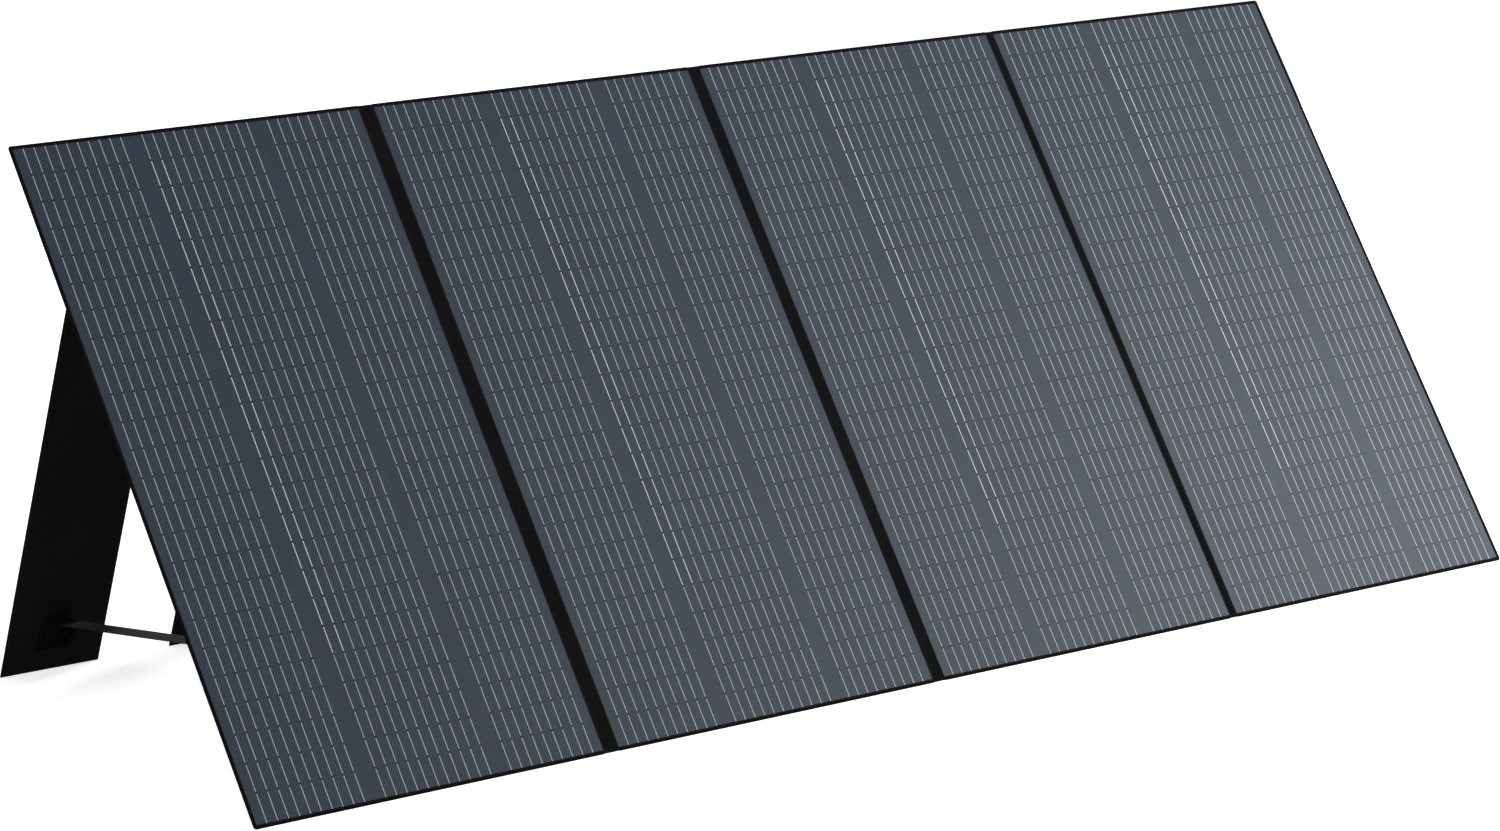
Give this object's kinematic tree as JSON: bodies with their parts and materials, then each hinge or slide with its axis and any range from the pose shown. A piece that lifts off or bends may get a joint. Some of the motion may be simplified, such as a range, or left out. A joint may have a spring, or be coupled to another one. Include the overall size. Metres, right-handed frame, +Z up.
{
  "type": "folding solar panel",
  "caption": "Portable folding solar panel: rigid cell panels joined by fabric hinges, leaning back on folding board kickstands with webbing straps.",
  "frame": {"origin": "on the ground at the middle of the opened panel's footprint", "axes": "+X along the opened panel, +Z up, the cells face -Y and up"},
  "size_m": [2.4, 0.885, 0.8494],
  "materials": {
    "cell_face": "embossed clear film over dark cells",
    "silicon": "smooth",
    "backing": "plain",
    "cover_fabric": "coated woven",
    "binding_tape": "woven tape",
    "hinge_fabric": "coated woven",
    "sleeve_fabric": "coated woven",
    "webbing": "woven webbing",
    "patch_fabric": "sewn patch",
    "grip_rubber": "fine grain",
    "zip_plastic": "moulded",
    "zip_metal": "satin black",
    "box_plastic": "fine grain",
    "screw_steel": "plain"
  },
  "bodies": {
    "panel_2": {"front_film_2": "cell_face", "cell_array_2": "silicon", "backing_board_2": "backing", "back_cover_2": "cover_fabric", "edge_binding_2": "binding_tape", "fold_hinge_1": "hinge_fabric", "fold_hinge_2": "hinge_fabric", "handle_tails_2": "webbing", "pocket_pouch": "cover_fabric", "zip_tapes": "binding_tape", "zip_teeth": "zip_plastic", "junction_base": "box_plastic", "junction_lid": "box_plastic", "lid_screws": "screw_steel", "cable_glands": "box_plastic"},
    "panel_1": {"front_film_1": "cell_face", "cell_array_1": "silicon", "backing_board_1": "backing", "back_cover_1": "cover_fabric", "edge_binding_1": "binding_tape", "strap_anchors_1": "patch_fabric", "handle_tails_1": "webbing", "leg_web_1": "hinge_fabric", "leg_web_2": "hinge_fabric", "leg_strap_1": "webbing", "leg_strap_2": "webbing"},
    "panel_3": {"front_film_3": "cell_face", "cell_array_3": "silicon", "backing_board_3": "backing", "back_cover_3": "cover_fabric", "edge_binding_3": "binding_tape", "fold_hinge_3": "hinge_fabric"},
    "panel_4": {"front_film_4": "cell_face", "cell_array_4": "silicon", "backing_board_4": "backing", "back_cover_4": "cover_fabric", "edge_binding_4": "binding_tape", "strap_anchors_4": "patch_fabric", "leg_web_3": "hinge_fabric", "leg_web_4": "hinge_fabric", "leg_strap_3": "webbing", "leg_strap_4": "webbing"},
    "kickstand_1": {"leg_sleeve_1": "sleeve_fabric", "leg_board_1": "backing", "leg_patch_1": "patch_fabric"},
    "kickstand_2": {"leg_sleeve_2": "sleeve_fabric", "leg_board_2": "backing", "leg_patch_2": "patch_fabric"},
    "kickstand_3": {"leg_sleeve_3": "sleeve_fabric", "leg_board_3": "backing", "leg_patch_3": "patch_fabric"},
    "kickstand_4": {"leg_sleeve_4": "sleeve_fabric", "leg_board_4": "backing", "leg_patch_4": "patch_fabric"},
    "handle_1": {"handle_web_1": "webbing", "handle_grip_1": "grip_rubber"},
    "handle_2": {"handle_web_2": "webbing", "handle_grip_2": "grip_rubber"},
    "zip_slider": {"zip_slider": "zip_metal"},
    "zip_pull": {"zip_pull": "zip_metal"}
  },
  "joints": [
    {"name": "fold_1", "type": "hinge", "parent": "panel_2", "child": "panel_1", "pos_m": [-0.60075, -0.15159, 0.42999], "axis": [0, 0.5746, 0.8185], "range_deg": [0, 179.9], "deforming": ["fold_hinge_1"]},
    {"name": "fold_2", "type": "hinge", "parent": "panel_2", "child": "panel_3", "pos_m": [0.00575, -0.14963, 0.42862], "axis": [0, -0.5746, -0.8185], "range_deg": [0, 179.9], "deforming": ["fold_hinge_2"]},
    {"name": "fold_3", "type": "hinge", "parent": "panel_3", "child": "panel_4", "pos_m": [0.6065, -0.14496, 0.42534], "axis": [0, -0.5746, -0.8185], "range_deg": [0, 179.9], "deforming": ["fold_hinge_3"]},
    {"name": "kickstand_1_fold", "type": "hinge", "parent": "panel_1", "child": "kickstand_1", "pos_m": [-0.99135, 0.13429, 0.81302], "axis": [-1, 0, 0], "range_deg": [0, 55.57], "deforming": ["leg_web_1", "leg_strap_1"]},
    {"name": "kickstand_2_fold", "type": "hinge", "parent": "panel_1", "child": "kickstand_2", "pos_m": [-0.69705, 0.13429, 0.81302], "axis": [-1, 0, 0], "range_deg": [0, 55.57], "deforming": ["leg_web_2", "leg_strap_2"]},
    {"name": "kickstand_3_fold", "type": "hinge", "parent": "panel_4", "child": "kickstand_3", "pos_m": [0.69705, 0.13429, 0.81302], "axis": [-1, 0, 0], "range_deg": [0, 55.57], "deforming": ["leg_web_3", "leg_strap_3"]},
    {"name": "kickstand_4_fold", "type": "hinge", "parent": "panel_4", "child": "kickstand_4", "pos_m": [0.99135, 0.13429, 0.81302], "axis": [-1, 0, 0], "range_deg": [0, 55.57], "deforming": ["leg_web_4", "leg_strap_4"]},
    {"name": "handle_1_swing", "type": "hinge", "parent": "panel_1", "child": "handle_1", "pos_m": [-1.186, -0.1405, 0.42221], "axis": [0, 0.5746, 0.8185], "range_deg": [0, 165]},
    {"name": "handle_2_swing", "type": "hinge", "parent": "panel_2", "child": "handle_2", "pos_m": [-0.02, -0.1405, 0.42221], "axis": [0, -0.5746, -0.8185], "range_deg": [0, 165]},
    {"name": "zip_slide", "type": "slide", "parent": "panel_2", "child": "zip_slider", "axis": [0, 0.5746, 0.8185], "range_m": [0, 0.1532]},
    {"name": "zip_pull_swing", "type": "hinge", "parent": "zip_slider", "child": "zip_pull", "pos_m": [-0.2015, -0.29176, 0.19257], "axis": [1, 0, 0], "range_deg": [-35, 110]}
  ]
}
